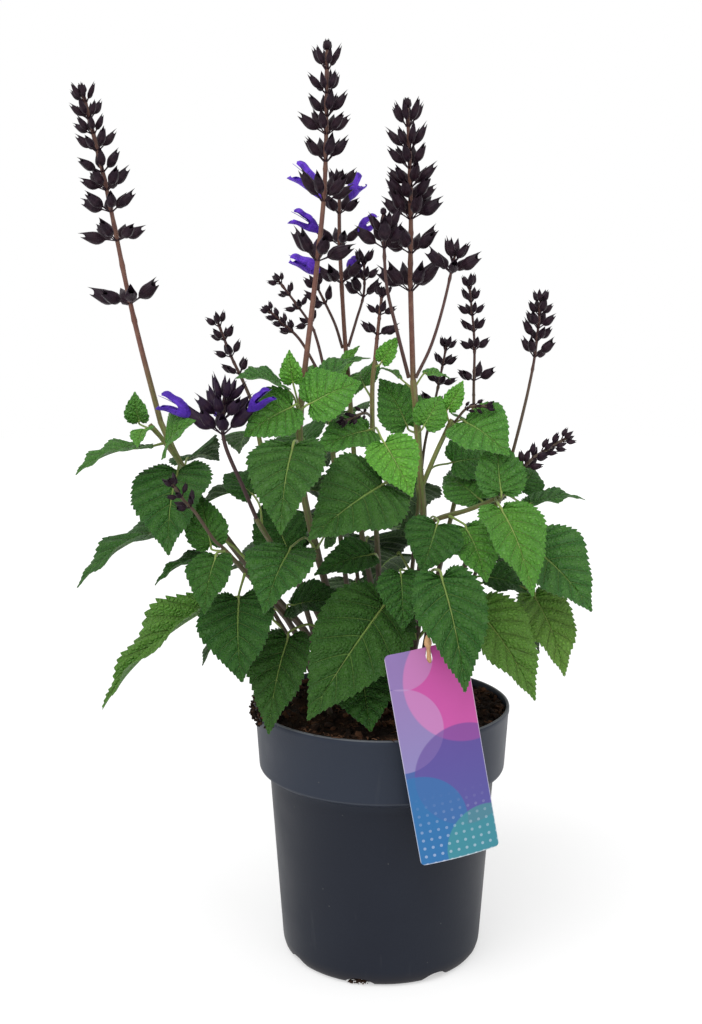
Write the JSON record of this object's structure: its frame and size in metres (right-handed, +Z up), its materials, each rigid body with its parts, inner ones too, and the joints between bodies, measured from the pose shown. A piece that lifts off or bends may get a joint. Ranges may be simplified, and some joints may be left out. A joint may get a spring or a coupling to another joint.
{
  "type": "potted salvia",
  "caption": "Nursery pot of soil with a leafy salvia: toothed heart-shaped leaves, tall dark flower spikes, violet two-lipped flowers, and a blank coloured label on a stake.",
  "frame": {"origin": "centre of the pot's flat base, on the surface that it rests on", "axes": "+Z up along the pot's axis, -Y towards the side that the label faces, +X to the right seen from there"},
  "size_m": [0.3292, 0.2426, 0.59],
  "materials": {
    "anthracite_plastic": "fine matt, dark blue-grey",
    "peat": "rough, damp dark peat",
    "leaf_green": "fresh leaf, soft sheen on top, paler below",
    "dark_calyx": "near-black purple calyx, finely hairy",
    "violet_corolla": "velvety violet petal",
    "label_card": "satin printed card",
    "pale_wood": "plain pale wood"
  },
  "bodies": {
    "root": {"corolla_centre_1": "violet_corolla", "corolla_centre_2": "violet_corolla", "corolla_centre_3": "violet_corolla", "corolla_centre_4": "violet_corolla", "corolla_centre_5": "violet_corolla", "corolla_centre_6": "violet_corolla", "corolla_left_1": "violet_corolla", "corolla_left_2": "violet_corolla", "corolla_left_3": "violet_corolla", "label": "label_card", "label_stake": "pale_wood", "pot": "anthracite_plastic", "soil": "peat", "spike_back_centre": "dark_calyx", "spike_back_centre_left": "dark_calyx", "spike_back_centre_right": "dark_calyx", "spike_back_inner": "dark_calyx", "spike_back_left": "dark_calyx", "spike_back_right": "dark_calyx", "spike_branch_bud": "dark_calyx", "spike_centre": "dark_calyx", "spike_far_left": "dark_calyx", "spike_flower_left": "dark_calyx", "spike_inner_bud": "dark_calyx", "spike_left_centre": "dark_calyx", "spike_left_centre_bud": "dark_calyx", "spike_low_left": "dark_calyx", "spike_middle": "dark_calyx", "spike_middle_bud": "dark_calyx", "spike_right": "dark_calyx", "spike_right_inner_shoot": "dark_calyx", "spike_right_outer_shoot": "dark_calyx", "spike_right_side": "dark_calyx", "stem_back_centre": "leaf_green", "stem_back_inner": "leaf_green", "stem_back_left": "leaf_green", "stem_back_right": "leaf_green", "stem_centre": "leaf_green", "stem_far_left": "leaf_green", "stem_flower_left": "leaf_green", "stem_left_centre": "leaf_green", "stem_low_back": "leaf_green", "stem_low_back_left": "leaf_green", "stem_low_back_right": "leaf_green", "stem_low_front": "leaf_green", "stem_low_front_left": "leaf_green", "stem_low_left": "leaf_green", "stem_middle": "leaf_green", "stem_right": "leaf_green", "stem_right_side": "leaf_green"}
  },
  "joints": []
}
